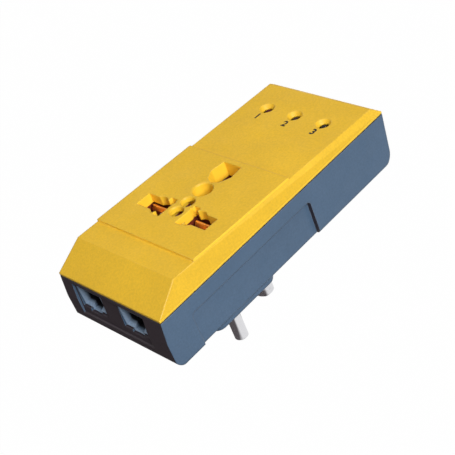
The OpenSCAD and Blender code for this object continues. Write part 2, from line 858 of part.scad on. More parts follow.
module relay_fixed_contact() {
    post_t = 0.6;
    y_c = pivot_y + blade_l - stud_r;
    z_top = core_top + armature_t - stud_h;
    color("#c08a3e") at_relay() {
        translate([0, y_c, z_top - stud_h]) cylinder(r = stud_r, h = stud_h, $fn = 24);
        translate([0, y_c + stud_r / 2, z_top - stud_h - post_t]) slab(blade_w, 3 * stud_r, post_t);
        translate([0, y_c + 2 * stud_r - post_t / 2, relay_floor])
            slab(blade_w, post_t, z_top - stud_h - relay_floor);
    }
}

module relay_case() {
    color("#2a5aa0") at_relay() difference() {
        slab(relay_w, relay_l, relay_h);
        translate([0, 0, -over]) slab(relay_w - 2 * relay_wall, relay_l - 2 * relay_wall,
                                      relay_h - relay_wall + over);
    }
}

// Other parts on the main board

module on_board(x, d) {
    translate([x, y_front + d, board_z + board_t]) children();
}

part_gap = 1;
part_edge = 0.7;
fuse_r = 1.8;
fuse_cap_t = 0.2;
fuse_leaf = 0.4;
fuse_half = fuse_r + fuse_cap_t + fit_gap + fuse_leaf;
fuse_x = relay_x + relay_w / 2 + part_gap + fuse_half;
film_w = 6.4;
film_l = 17.6;
film_h = 13.4;
film_in = 3.6;
film_x = fuse_x + fuse_half + part_gap + film_w / 2;
film_d = board_start + film_in + film_l / 2;
smooth_d = 7.6;
smooth_h = 12.6;
smooth_in = 8.4;
smooth_x = board_w / 2 - part_edge - smooth_d / 2;
smooth_at = board_start + smooth_in;
varistor_d = 9;
varistor_t = 3.6;

module film_capacitor() {
    color("#b0382e") on_board(film_x, film_d) slab(film_w, film_l, film_h);
}

module smoothing_capacitor() {
    d = smooth_d;
    h = smooth_h;
    ring = 0.4;
    ring_z = 1.2;
    color("#20242c") on_board(smooth_x, smooth_at) rotate_extrude()
        polygon([[0, 0], [d / 2, 0], [d / 2, ring_z], [d / 2 - ring, ring_z + ring],
                 [d / 2, ring_z + 2 * ring], [d / 2, h - ring], [d / 2 - ring, h], [0, h]]);
}

module varistor() {
    lead = 0.7;
    lift = 1.6;
    gap = 5;
    y = smooth_at + smooth_d / 2 + part_gap + varistor_t / 2;
    color("#2c6fb4") on_board(board_w / 2 - varistor_d / 2, y + lift) {
        translate([0, varistor_t / 2, lift + varistor_d / 2]) rotate([90, 0, 0])
            cylinder(d = varistor_d, h = varistor_t);
        for (sx = [-1, 1]) translate([sx * gap / 2, 0, 0]) cylinder(d = lead, h = 2 * lift, $fn = 16);
    }
}

fuse_len = 13;
fuse_up = 2.6;
fuse_past = 0.2;
fuse_d = board_start + fuse_len - fuse_past;
fuse_leaf_w = 2.2;

module fuse_link() {
    cap = 3;
    rim = fuse_cap_t;
    color("#d8dadd") on_board(fuse_x, fuse_d) translate([0, 0, fuse_up]) rotate([90, 0, 0])
        rotate_extrude() polygon([[0, 0], [fuse_r + rim, 0], [fuse_r + rim, cap], [fuse_r, cap],
                                  [fuse_r, fuse_len - cap], [fuse_r + rim, fuse_len - cap],
                                  [fuse_r + rim, fuse_len], [0, fuse_len]]);
}

module fuse_clips() {
    t = fuse_leaf;
    w = fuse_leaf_w;
    h = 4.4;
    end = 0.5;
    color("#c9b26a") on_board(fuse_x, fuse_d) for (d = [end, fuse_len - w - end])
        translate([0, -d - w / 2, 0]) {
            slab(2 * fuse_half, w, t);
            for (sx = [-1, 1]) translate([sx * (fuse_half - t / 2), 0, 0]) slab(t, w, h);
        }
}

module control_chip() {
    w = 6.2;
    l = 9.6;
    h = 3;
    up = 0.8;
    pin_w = 0.5;
    leg_t = 0.4;
    step = 2.54;
    forward = 1.4;
    color("#17181a") on_board(lamp_pitch / 2, lamp_row - forward) {
        translate([0, 0, up]) slab(l, w, h);
        for (sy = [-1, 1]) for (i = [-1.5, -0.5, 0.5, 1.5])
            translate([i * step, sy * (w / 2 + leg_t / 2 - slice), 0]) slab(pin_w, leg_t + slice, up + h / 2);
    }
}

module trimmer() {
    w = 6;
    l = 4.8;
    h = 3.2;
    dial_r = 1.8;
    dial_h = 0.8;
    slot_w = 0.5;
    back = 1;
    color("#2f55b5") on_board(-lamp_pitch / 2, lamp_row + back) difference() {
        union() {
            slab(w, l, h);
            translate([0, 0, h]) cylinder(r = dial_r, h = dial_h);
        }
        translate([0, 0, h + dial_h / 2]) slab(slot_w, 2 * dial_r + over, dial_h);
    }
}

lamp_sink = 0.9;
lamp_lead = 0.5;
lamp_gap = 2.3;
lamp_rim = 0.35;
lamp_rim_h = 0.9;

module lamp_at(i) {
    top = lid_z(lamp_row) - lamp_sink;
    foot = top - lamp_h;
    translate([i * lamp_pitch, lamp_y, 0]) {
        translate([0, 0, foot]) rotate_extrude() union() {
            square([lamp_d / 2, lamp_h - lamp_d / 2]);
            square([lamp_d / 2 + lamp_rim, lamp_rim_h]);
            intersection() {
                translate([0, lamp_h - lamp_d / 2]) circle(d = lamp_d);
                translate([0, lamp_h - lamp_d / 2 - slice]) square([lamp_d, lamp_d]);
            }
        }
        for (sx = [-1, 1]) translate([sx * lamp_gap / 2, 0, board_z + board_t])
            cylinder(d = lamp_lead, h = foot - board_z - board_t + lamp_rim_h / 2, $fn = 16);
    }
}

module lamp_left() {
    color("#c8322a") lamp_at(-1);
}

module lamp_middle() {
    color("#d99a26") lamp_at(0);
}

module lamp_right() {
    color("#3f9c46") lamp_at(1);
}

// Telephone ports

module port_board() {
    l = jack_l - fit_gap;
    color("#2f6b3c") translate([port_mid, y_front + wall + fit_gap + l / 2, port_board_z])
        slab(port_pitch + jack_w, l, port_board_t);
}

module jack_at(sx) {
    h = jack_floor + latch_h + port_h + jack_top;
    z0 = port_board_z + port_board_t;
    back = 1.2;
    translate([port_mid + sx * port_pitch / 2, y_front + wall, 0]) difference() {
        union() {
            translate([0, jack_l / 2, z0]) slab(jack_w, jack_l, h);
            // nose that fills the opening of the base
            translate([0, back, parting - port_top]) rotate([90, 0, 0])
                linear_extrude(back + wall - nose_in) nose_plan(0);
        }
        translate([0, jack_l - back, parting - port_top]) rotate([90, 0, 0])
            linear_extrude(jack_l + wall) port_plan();
        // mouth, wider towards the front
        translate([0, 0, parting - port_top]) hull() {
            translate([-port_w / 2, -slice, -port_h]) cube([port_w, slice, port_h]);
            translate([-port_w / 2 - port_flare, nose_in - wall - slice, -port_h - port_flare])
                cube([port_w + 2 * port_flare, slice, port_h + port_flare]);
        }
        // slots for the contact wires
        for (i = [-1.5, -0.5, 0.5, 1.5])
            translate([i * wire_step, jack_l - back - over, parting - port_top - over])
                slab(wire_d + 2 * fit_gap, 2 * over + fit_gap, jack_top);
    }
}

wire_step = 1.6;
wire_drop = 0.7;
wire_dip = 2.2;
wire_turn = 3.2;
wire_run = 4.6;
wire_d = 0.5;

module port_in() {
    color("#8496ab") jack_at(-1);
}

module port_out() {
    color("#8496ab") jack_at(1);
}

// four sprung contact wires in each port
module port_wires() {
    back = 1.2;
    color("#d0a443") for (sx = [-1, 1]) for (i = [-1.5, -0.5, 0.5, 1.5])
        translate([port_mid + sx * port_pitch / 2 + i * wire_step, y_front + wall, parting - port_top])
            wire([[0, jack_l - back, -wire_drop], [0, wire_turn, -wire_drop],
                  [0, wire_turn + wire_run, -wire_dip]], wire_d);
}

module surge_tubes() {
    d = 3.6;
    l = 4.6;
    cap = 0.9;
    rim = 0.25;
    start_l = 3.4;
    step_l = 5.6;
    color("#cfd3d8") for (i = [0, 1])
        translate([port_mid - l / 2, y_front + wall + start_l + i * step_l,
                   port_board_z + port_board_t + d / 2 + rim])
            rotate([0, 90, 0])
                rotate_extrude() polygon([[0, 0], [d / 2 + rim, 0], [d / 2 + rim, cap], [d / 2, cap],
                                          [d / 2, l - cap], [d / 2 + rim, l - cap],
                                          [d / 2 + rim, l], [0, l]]);
}

// Leads

lead_d = 1.6;
tail_top = boss_face_t + flange_h + tail_h;

module line_lead() {
    z = tail_top + lead_d / 2;
    side_l = 7.4;
    in_l = 8.4;
    x = pin_pitch / 2 + side_l;
    color("#8a4b2a") wire([[pin_pitch / 2, row_y - lead_d, z], [x, row_y + side_l, z],
                           [x, y_front + board_start - in_l - lead_d, z],
                           [x - in_l, y_front + board_start - lead_d, board_z - lead_d / 2],
                           [x - in_l, y_front + board_start + lead_d, board_z - lead_d / 2]], lead_d);
}

module switched_lead() {
    color("#8a4b2a") wire([[clip_x, out_y + leaf_t / 2, board_z + board_t / 2],
                           [clip_x, y_front + board_start, board_z + board_t / 2]], lead_d);
}

module neutral_lead() {
    z = carrier_z - lead_d;
    color("#3a66b0") wire([[-pin_pitch / 2, row_y, tail_top], [-pin_pitch / 2, row_y, tail_top + lead_d],
                           [-clip_x, out_y - 2 * lead_d, z], [-clip_x, out_y - leaf_t / 2, z]], lead_d);
}

module earth_lead() {
    z = carrier_z - lead_d;
    y = row_y + earth_pitch;
    color("#3f8a46") wire([[0, y, tail_top], [0, y, tail_top + lead_d],
                           [2 * lead_d, out_y + socket_earth, z], [leaf_t / 2, out_y + socket_earth, z]],
                          lead_d);
}

lid();
base();
line_pin();
neutral_pin();
earth_pin();
pin_clamp();
clamp_screws();
contact_carrier();
line_contact();
neutral_contact();
earth_contact();
carrier_screws();
case_screws();
main_board();
board_screws();
relay_base();
relay_yoke();
relay_bobbin();
relay_winding();
relay_armature();
relay_moving_contact();
relay_fixed_contact();
relay_case();
film_capacitor();
smoothing_capacitor();
varistor();
fuse_link();
fuse_clips();
control_chip();
trimmer();
lamp_left();
lamp_middle();
lamp_right();
port_board();
port_in();
port_out();
port_wires();
surge_tubes();
line_lead();
switched_lead();
neutral_lead();
earth_lead();
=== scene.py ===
import math

import bmesh
import bpy
from bpy.props import (FloatProperty, FloatVectorProperty, IntProperty,
                       PointerProperty)
from mathutils import Matrix, Vector
from mathutils.bvhtree import BVHTree


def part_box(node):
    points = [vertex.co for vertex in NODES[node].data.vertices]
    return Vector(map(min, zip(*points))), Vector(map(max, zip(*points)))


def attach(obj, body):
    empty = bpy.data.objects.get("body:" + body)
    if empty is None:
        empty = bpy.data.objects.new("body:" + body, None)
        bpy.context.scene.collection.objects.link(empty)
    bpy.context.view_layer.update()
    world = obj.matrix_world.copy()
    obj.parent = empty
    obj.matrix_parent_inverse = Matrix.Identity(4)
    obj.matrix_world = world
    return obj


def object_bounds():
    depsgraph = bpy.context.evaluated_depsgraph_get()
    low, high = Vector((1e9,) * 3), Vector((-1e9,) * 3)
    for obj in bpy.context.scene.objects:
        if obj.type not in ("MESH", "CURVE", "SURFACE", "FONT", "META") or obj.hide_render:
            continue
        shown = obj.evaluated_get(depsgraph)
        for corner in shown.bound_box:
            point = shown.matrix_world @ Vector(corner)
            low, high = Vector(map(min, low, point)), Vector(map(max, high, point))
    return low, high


bl_info = {
    "name": "Voltage protector",
    "version": (1, 0, 0),
    "blender": (4, 5, 0),
    "location": "3D View > Sidebar > Voltage protector",
    "description": "Finishes and printed marks of a plug-in voltage protector",
    "category": "Object",
}


def plain(box):
    """A box's corners as plain lists of numbers."""
    return [[float(value) for value in corner] for corner in box]


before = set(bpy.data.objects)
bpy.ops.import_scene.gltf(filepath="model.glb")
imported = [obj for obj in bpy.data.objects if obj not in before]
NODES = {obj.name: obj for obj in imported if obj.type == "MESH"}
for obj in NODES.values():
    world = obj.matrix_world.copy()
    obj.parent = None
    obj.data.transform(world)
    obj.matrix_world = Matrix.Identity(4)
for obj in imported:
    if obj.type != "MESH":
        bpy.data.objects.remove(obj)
CAD_BOX = plain(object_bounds())

MM = 0.001

# Directions on the part
UP = (0.0, 0.0, 1.0)
DOWN = (0.0, 0.0, -1.0)
FRONT = (0.0, -1.0, 0.0)
BACK = (0.0, 1.0, 0.0)

# Directions on the floor: across the picture, and into it
ACROSS_PICTURE = (0.52, 0.853, 0.0)
INTO_PICTURE = (-0.853, 0.52, 0.0)

# Noise scales of the finishes, in 1/m
GRAIN_SCALE = 3400.0
PIT_SCALE = 1300.0
DRIFT_SCALE = 42.0
SMUDGE_SCALE = 120.0
LINE_SCALE = 2600.0
CLOUD_SCALE = 210.0
FLECK_SCALE = 900.0
FIBRE_SCALE = 60.0
LINE_STRETCH = (1.0, 1.0, 0.06)

# Part of a noise's range that a mask runs over
NOISE_WIDE = (0.25, 0.75)
NOISE_MIDDLE = (0.3, 0.7)
SMUDGE_PATCH = (0.42, 0.62)
CLOUD_PATCH = (0.48, 0.7)
FLECK_PATCH = (0.4, 0.65)

# Moulded plastic: how much each pattern changes colour and roughness, what the rubbed
# edges take on, and the depth of the bumps
GRAIN_SHADE = (0.93, 1.06)
PIT_SHADE = (0.95, 1.05)
DRIFT_SHADE = (0.94, 1.05)
SMUDGE_ROUGHNESS = (-0.07, 0.07)
RUBBED_COLOUR = 0.55
RUBBED_GLOSS = 0.12
PIT_DEPTH = 0.7
GRAIN_DEPTH = 0.02 * MM
INK_DEPTH = 0.004 * MM

# Drawn metal: changes of roughness, share of the dull colour on edges, and depth of the lines
LINE_ROUGHNESS = (-0.03, 0.05)
DULL_ROUGHNESS = 0.16
SCUFF = 0.35
LINE_DEPTH = 0.004 * MM

# Edges. EDGE_TURN is the cosine of the turn from flat to rounded normal at which the wear
# starts, and that at which it is full
EDGE_TURN = (0.999, 0.86)
EDGE_RADIUS = 0.3 * MM
METAL_RADIUS = 0.35 * MM
WEAR_RADIUS = 0.6 * MM
BEVEL_SAMPLES = 6
BUMP_STRENGTH = 0.6

# Cosines at which a surface starts to count as facing a direction, and does so in full
FACES_FRONT = (0.8, 0.9)
FACES_UP = (0.5, 0.6)
LEANS = (0.08, 0.15)

# Where the base and the ports are darker; PORT_FADE is the share of the depth where it starts
SILL_DEPTH = 2.5 * MM
SILL_FADE = 0.2 * MM
# Painted shade in the groove under the lid, where the lid's edge shades the base
SEAM_DROP = 0.35 * MM
SEAM_FADE = 0.1 * MM
SEAM_SHADE = (0.012, 0.014, 0.018)
# Painted shade deep inside the ports
PORT_DEPTH = 2.2 * MM
PORT_FADE = 0.4
PORT_SHADE = (0.01, 0.01, 0.012)

# A digit's height in the plain face, as a share of the size asked for
DIGIT_SHARE = 0.72
# How far above the lid the middle of the ink lies, as a share of its thickness
INK_SEAT = 0.4

# Floor and even white around it. What the pins mirror of the floor is dark to their left, and
# in a stripe to their right that starts beside them
FLOOR_HALF = 3.0
FLOOR_DROP = 0.05 * MM
FLOOR_WHITE = 0.995
FLOOR_MIRRORED = (0.02, 0.9)
LEFT_DARK = (-9.0 * MM, -4.0 * MM)
STRIPE_NEAR = (2.0 * MM, 4.0 * MM)
STRIPE_FAR = (11.0 * MM, 9.0 * MM)
STRIPE_START = (-5.0 * MM, -2.0 * MM)
FLOOR_FIBRE = (0.0, 0.08)
FIBRE_DARKENING = 0.3
WORLD_WHITE = 1.0
WORLD_MIRRORED = 0.63
WARM = (1.0, 0.90, 0.82)
WHITE = (1.0, 1.0, 1.0)

# Lights: name, place, point that it looks at, width, setting that holds its power, and
# whether it shows in reflections
LIGHTS = (("key_light", (0.70, -0.10, 0.52), (0.0, 0.0, 0.02), 0.35, "key", True),
          ("top_light", (0.0, -0.15, 1.0), (0.0, 0.0, 0.03), 0.9, "top", True),
          ("front_light", (0.25, -0.85, 0.40), (0.0, 0.0, 0.02), 0.5, "front", True),
          ("back_light", (-0.80, 0.50, 0.05), (0.0, 0.0, 0.02), 0.3, "back", False))

# Plastics of the inner pieces: name, colour, roughness, grain and nodes
INNER_PLASTICS = (
    ("Relay cover plastic", (0.02, 0.10, 0.36), 0.3, 0.5, ("relay_case",)),
    ("Relay base plastic", (0.02, 0.03, 0.07), 0.45, 1.0, ("relay_base",)),
    ("Bobbin plastic", (0.68, 0.63, 0.48), 0.4, 1.0, ("relay_bobbin",)),
    ("Dipped film coating", (0.42, 0.035, 0.025), 0.28, 0.5, ("film_capacitor",)),
    ("Sleeve film", (0.02, 0.024, 0.035), 0.25, 0.3, ("smoothing_capacitor",)),
    ("Varistor coating", (0.03, 0.15, 0.46), 0.35, 0.6, ("varistor",)),
    ("Chip resin", (0.01, 0.01, 0.012), 0.5, 1.0, ("control_chip",)),
    ("Trimmer plastic", (0.03, 0.08, 0.42), 0.38, 1.0, ("trimmer",)),
    ("Brown wire sheath", (0.20, 0.07, 0.025), 0.4, 0.4, ("line_lead", "switched_lead")),
    ("Blue wire sheath", (0.035, 0.13, 0.44), 0.4, 0.4, ("neutral_lead",)),
    ("Green wire sheath", (0.05, 0.26, 0.06), 0.4, 0.4, ("earth_lead",)),
)

# Metals of the inner pieces: name, colour, roughness, strength of the drawn lines and nodes
INNER_METALS = (
    ("Contact bronze", (0.66, 0.40, 0.22), 0.28, 1.0,
     ("relay_moving_contact", "relay_fixed_contact", "fuse_clips")),
    ("Gold-plated wire", (0.83, 0.60, 0.22), 0.2, 1.0, ("port_wires",)),
    ("Enamelled copper", (0.45, 0.16, 0.06), 0.3, 2.0, ("relay_winding",)),
    ("Nickelled end caps", (0.66, 0.66, 0.68), 0.25, 1.0, ("fuse_link", "surge_tubes")),
)

LAMPS = ("lamp_left", "lamp_middle", "lamp_right")
LENS_NAMES = ("Red light lens", "Amber light lens", "Dark light lens")

# Sockets of the node that mixes two colours
MIX_SHARE = 0
MIX_FIRST = 6
MIX_SECOND = 7
MIX_RESULT = 2


# Shader nodes

def solid(colour):
    return (colour[0], colour[1], colour[2], 1.0)


def lighter(colour, share):
    return tuple(value + (1.0 - value) * share for value in colour[:3]) + (1.0,)


def darker(colour, share):
    return tuple(value * (1.0 - share) for value in colour[:3]) + (1.0,)


def feed(tree, value, slot):
    """Link another node's output to a socket, or set the socket to a number or colour."""
    if isinstance(value, bpy.types.NodeSocket):
        tree.links.new(value, slot)
    else:
        slot.default_value = value


def math_node(tree, operation, first, second, clamp=False):
    node = tree.nodes.new("ShaderNodeMath")
    node.operation = operation
    node.use_clamp = clamp
    feed(tree, first, node.inputs[0])
    feed(tree, second, node.inputs[1])
    return node.outputs[0]


def noise(tree, where, scale, detail, rough):
    node = tree.nodes.new("ShaderNodeTexNoise")
    node.inputs["Scale"].default_value = scale
    node.inputs["Detail"].default_value = detail
    node.inputs["Roughness"].default_value = rough
    tree.links.new(where, node.inputs["Vector"])
    return node.outputs["Fac"]


def blend(tree, share, first, second):
    """The first colour where the share is 0, and the second where it is 1."""
    node = tree.nodes.new("ShaderNodeMix")
    node.data_type = "RGBA"
    feed(tree, share, node.inputs[MIX_SHARE])
    feed(tree, first, node.inputs[MIX_FIRST])
    feed(tree, second, node.inputs[MIX_SECOND])
    return node.outputs[MIX_RESULT]


def spread(tree, value, limits, result=(0.0, 1.0)):
    """Carry the range between two limits over to another range, and stop at its ends."""
    node = tree.nodes.new("ShaderNodeMapRange")
    node.inputs["From Min"].default_value, node.inputs["From Max"].default_value = limits
    node.inputs["To Min"].default_value, node.inputs["To Max"].default_value = result
    tree.links.new(value, node.inputs["Value"])
    return node.outputs[0]


def along(tree, what, way, limits):
    """0 to 1 as an object's place or normal goes from low to high along a direction."""
    node = tree.nodes.new("ShaderNodeVectorMath")
    node.operation = "DOT_PRODUCT"
    node.inputs[1].default_value = way
    tree.links.new(tree.nodes.new("ShaderNodeTexCoord").outputs[what], node.inputs[0])
    return spread(tree, node.outputs["Value"], limits)


def shader_mix(tree, share, first, second):
    node = tree.nodes.new("ShaderNodeMixShader")
    tree.links.new(share, node.inputs[0])
    tree.links.new(first.outputs[0], node.inputs[1])
    tree.links.new(second.outputs[0], node.inputs[2])
    return node


# Shared effects

def new_group(name, inputs, outputs):
    """A node group with its input and output nodes; an input's value may be left out."""
    group = bpy.data.node_groups.new(name, "ShaderNodeTree")
    for label, kind, value in inputs:
        made = group.interface.new_socket(name=label, in_out="INPUT",
                                          socket_type="NodeSocket" + kind)
        if value is not None:
            made.default_value = value
    for label, kind in outputs:
        group.interface.new_socket(name=label, in_out="OUTPUT", socket_type="NodeSocket" + kind)
    return group, group.nodes.new("NodeGroupInput"), group.nodes.new("NodeGroupOutput")


def rounded_normal(group):
    node = group.nodes.new("ShaderNodeBevel")
    node.samples = BEVEL_SAMPLES
    return node


def edge_group():
    """Mask of the edges, and the normal rounded over them."""
    group, given, out = new_group("Worn edges", (("Radius", "Float", METAL_RADIUS),),
                                  (("Normal", "Vector"), ("Edge", "Float")))
    rounded = rounded_normal(group)
    group.links.new(given.outputs["Radius"], rounded.inputs["Radius"])
    wide = rounded_normal(group)
    wide.inputs["Radius"].default_value = WEAR_RADIUS
    flat = group.nodes.new("ShaderNodeNewGeometry")
    turn = group.nodes.new("ShaderNodeVectorMath")
    turn.operation = "DOT_PRODUCT"
    group.links.new(wide.outputs[0], turn.inputs[0])
    group.links.new(flat.outputs["Normal"], turn.inputs[1])
    group.links.new(rounded.outputs[0], out.inputs["Normal"])
    group.links.new(spread(group, turn.outputs["Value"], EDGE_TURN), out.inputs["Edge"])


def worn_edges(group):
    node = group.nodes.new("ShaderNodeGroup")
    node.node_tree = bpy.data.node_groups["Worn edges"]
    return node


FINISH_OUTPUTS = (("Colour", "Color"), ("Roughness", "Float"), ("Height", "Float"),
                  ("Normal", "Vector"))


def moulded_group():
    """Moulded plastic: spark-eroded grain, slow colour drift, smudges and rubbed edges."""
    group, given, out = new_group(
        "Moulded plastic",
        (("Colour", "Color", None), ("Rubbed", "Color", None), ("Roughness", "Float", 0.45),
         ("Grain", "Float", 1.0), ("Radius", "Float", EDGE_RADIUS)),
        FINISH_OUTPUTS)
    place = group.nodes.new("ShaderNodeTexCoord").outputs["Object"]
    edges = worn_edges(group)
    group.links.new(given.outputs["Radius"], edges.inputs["Radius"])
    grain = noise(group, place, GRAIN_SCALE, detail=3.0, rough=0.6)
    pits = noise(group, place, PIT_SCALE, detail=1.0, rough=0.4)
    drift = noise(group, place, DRIFT_SCALE, detail=3.0, rough=0.55)
    smudge = noise(group, place, SMUDGE_SCALE, detail=4.0, rough=0.65)

    speck = math_node(group, "MULTIPLY", spread(group, grain, NOISE_WIDE, GRAIN_SHADE),
                      spread(group, pits, NOISE_MIDDLE, PIT_SHADE))
    shade = math_node(group, "MULTIPLY", spread(group, drift, NOISE_MIDDLE, DRIFT_SHADE), speck)
    shaded = group.nodes.new("ShaderNodeVectorMath")
    shaded.operation = "SCALE"
    group.links.new(given.outputs["Colour"], shaded.inputs[0])
    group.links.new(shade, shaded.inputs["Scale"])
    worn = math_node(group, "MULTIPLY", edges.outputs["Edge"],
                     spread(group, smudge, SMUDGE_PATCH), clamp=True)
    group.links.new(blend(group, math_node(group, "MULTIPLY", worn, RUBBED_COLOUR),
                          shaded.outputs[0], given.outputs["Rubbed"]), out.inputs["Colour"])

    rough = math_node(group, "ADD", given.outputs["Roughness"],
                      spread(group, smudge, NOISE_MIDDLE, SMUDGE_ROUGHNESS))
    gloss = math_node(group, "MULTIPLY", worn, RUBBED_GLOSS)
    group.links.new(math_node(group, "SUBTRACT", rough, gloss, clamp=True),
                    out.inputs["Roughness"])

    bumps = math_node(group, "ADD", grain, math_node(group, "MULTIPLY", pits, PIT_DEPTH))
    group.links.new(math_node(group, "MULTIPLY", bumps, given.outputs["Grain"]),
                    out.inputs["Height"])
    group.links.new(edges.outputs["Normal"], out.inputs["Normal"])


def metal_group():
    """Plated or bare metal: fine drawn lines, dull patches and scuffed edges."""
    group, given, out = new_group(
        "Drawn metal",
        (("Colour", "Color", None), ("Dull", "Color", None), ("Roughness", "Float", 0.2),
         ("Lines", "Float", 1.0)),
        FINISH_OUTPUTS)
    place = group.nodes.new("ShaderNodeTexCoord").outputs["Object"]
    stretch = group.nodes.new("ShaderNodeMapping")
    stretch.inputs["Scale"].default_value = LINE_STRETCH
    group.links.new(place, stretch.inputs["Vector"])
    edges = worn_edges(group)
    lines = noise(group, stretch.outputs[0], LINE_SCALE, detail=3.0, rough=0.6)
    cloud = noise(group, place, CLOUD_SCALE, detail=3.0, rough=0.6)
    fleck = noise(group, place, FLECK_SCALE, detail=2.0, rough=0.6)

    dull = math_node(group, "MULTIPLY", spread(group, cloud, CLOUD_PATCH),
                     spread(group, fleck, FLECK_PATCH), clamp=True)
    scuffed = math_node(group, "MULTIPLY", edges.outputs["Edge"], SCUFF)
    group.links.new(blend(group, math_node(group, "MAXIMUM", dull, scuffed),
                          given.outputs["Colour"], given.outputs["Dull"]),
                    out.inputs["Colour"])

    rough = math_node(group, "ADD", given.outputs["Roughness"],
                      math_node(group, "MULTIPLY", dull, DULL_ROUGHNESS))
    drawn = spread(group, lines, NOISE_MIDDLE, LINE_ROUGHNESS)
    group.links.new(math_node(group, "ADD", rough, drawn, clamp=True), out.inputs["Roughness"])

    group.links.new(math_node(group, "MULTIPLY", lines, given.outputs["Lines"]),
                    out.inputs["Height"])
    group.links.new(edges.outputs["Normal"], out.inputs["Normal"])


# Finishes

def finish_material(name, effect, feeds, depth, metallic=0.0, **fixed):
    """A material whose colour, roughness and bump come from one shared effect."""
    material = bpy.data.materials.new(name)
    material.use_nodes = True
    tree = material.node_tree
    shader = tree.nodes["Principled BSDF"]
    shader.inputs["Metallic"].default_value = metallic
    for key, value in fixed.items():
        shader.inputs[key.replace("_", " ")].default_value = value
    node = tree.nodes.new("ShaderNodeGroup")
    node.node_tree = bpy.data.node_groups[effect]
    for key, value in feeds.items():
        node.inputs[key].default_value = value
    bump = tree.nodes.new("ShaderNodeBump")
    bump.inputs["Distance"].default_value = depth
    bump.inputs["Strength"].default_value = BUMP_STRENGTH
    tree.links.new(node.outputs["Height"], bump.inputs["Height"])
    tree.links.new(node.outputs["Normal"], bump.inputs["Normal"])
    tree.links.new(node.outputs["Colour"], shader.inputs["Base Color"])
    tree.links.new(node.outputs["Roughness"], shader.inputs["Roughness"])
    tree.links.new(bump.outputs[0], shader.inputs["Normal"])
    return material


def plastic(name, colour, roughness, grain=1.0, depth=GRAIN_DEPTH, rub=0.25,
            radius=EDGE_RADIUS, **fixed):
    """Moulded plastic; rub is how much paler its worn edges are."""
    feeds = {"Colour": solid(colour), "Rubbed": lighter(colour, rub),
             "Roughness": roughness, "Grain": grain, "Radius": radius}
    return finish_material(name, "Moulded plastic", feeds, depth, **fixed)


def metal(name, colour, roughness, lines=1.0, dull=0.35):
    """Drawn metal; dull is how much darker its dull patches are."""
    feeds = {"Colour": solid(colour), "Dull": darker(colour, dull),
             "Roughness": roughness, "Lines": lines}
    return finish_material(name, "Drawn metal", feeds, LINE_DEPTH, metallic=1.0)


def tint(material, mask, colour):
    """Lay a second colour over a finish where the mask is 1."""
    tree = material.node_tree
    shader = tree.nodes["Principled BSDF"]
    body = shader.inputs["Base Color"].links[0].from_socket
    tree.links.new(blend(tree, mask, body, solid(colour)), shader.inputs["Base Color"])


def tint_front(material, colour):
    """Darken what looks to the front of the base, and the sills just behind it."""
    tree = material.node_tree
    edge = -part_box("base")[0][1] - SILL_DEPTH
    sill = math_node(tree, "MULTIPLY", along(tree, "Normal", UP, FACES_UP),
                     along(tree, "Object", FRONT, (edge - SILL_FADE, edge)))
    face = along(tree, "Normal", FRONT, FACES_FRONT)
    tint(material, math_node(tree, "MAXIMUM", face, sill), colour)


def paint_seam_shade(material):
    """Painted shade: darken the groove under the lid and the base above it, as if in the lid's
    shadow.
    """
    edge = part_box("lid")[0][2] - SEAM_DROP
    groove = along(material.node_tree, "Object", UP, (edge - SEAM_FADE, edge))
    tint(material, groove, SEAM_SHADE)


def paint_wall_light(material, colour):
    """Painted light: lighten the lid's upright walls so that they look more brightly lit."""
    tree = material.node_tree
    level = math_node(tree, "MAXIMUM", along(tree, "Normal", UP, LEANS),
                      along(tree, "Normal", DOWN, LEANS))
    tint(material, math_node(tree, "SUBTRACT", 1.0, level), colour)


def paint_port_shade(material):
    """Painted shade: darken what lies deep behind the front of the ports, where little light
    reaches.
    """
    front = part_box("port_in")[0][1]
    deep = along(material.node_tree, "Object", BACK,
                 (front + PORT_DEPTH * PORT_FADE, front + PORT_DEPTH))
    tint(material, deep, PORT_SHADE)


def dress(material, *names):
    """Put a finish on CAD nodes."""
    for name in names:
        for slot in NODES[name].material_slots:
            slot.material = material


# Values that a user would change

def colour_prop(name, description, default):
    return FloatVectorProperty(name=name, description=description, subtype="COLOR", size=3,
                               min=0.0, max=1.0, default=default)


def length_prop(name, description, default, low, high):
    return FloatProperty(name=name, description=description, unit="LENGTH", subtype="DISTANCE",
                         default=default, min=low, max=high, precision=5)


def share_prop(name, description, default):
    return FloatProperty(name=name, description=description, subtype="FACTOR",
                         default=default, min=0.0, max=1.0)


def power_prop(name, description, default):
    return FloatProperty(name=name, description=description, unit="POWER",
                         default=default, min=0.0, max=50.0)


class CaseFinish(bpy.types.PropertyGroup):
    lid: colour_prop("Lid", "Colour of the yellow lid", (0.78, 0.475, 0.022))
    # Walls: painted light, a lighter yellow that makes the lid's upright walls look more brightly
    # lit
    walls: colour_prop("Walls", "Colour of the lid's thin upright walls", (1.0, 0.64, 0.04))
    base: colour_prop("Base", "Colour of the blue-grey base", (0.068, 0.122, 0.200))
    front: colour_prop("Front", "Colour of the dark front face", (0.033, 0.023, 0.030))
    lid_roughness: share_prop("Lid roughness", "Roughness of the lid's grained surface", 0.46)
    base_roughness: share_prop("Base roughness", "Roughness of the base's grained surface", 0.5)
    grain: length_prop("Grain", "Depth of the moulded grain", GRAIN_DEPTH, 0.0, 0.2 * MM)
    lid_edge: length_prop("Lid edges", "Radius of the lid's moulded edges", 0.6 * MM,
                          0.0, 2.0 * MM)
    base_edge: length_prop("Base edges", "Radius of the base's moulded edges", 0.8 * MM,
                           0.0, 2.0 * MM)


class MetalFinish(bpy.types.PropertyGroup):
    pins: colour_prop("Pins", "Colour of the plated plug pins", (0.78, 0.78, 0.80))
    pin_roughness: share_prop("Pin roughness", "Roughness of the plug pins", 0.09)
    brass: colour_prop("Brass", "Colour of the outlet contacts", (0.95, 0.50, 0.19))
    steel: colour_prop("Steel", "Colour of the screws", (0.56, 0.57, 0.60))


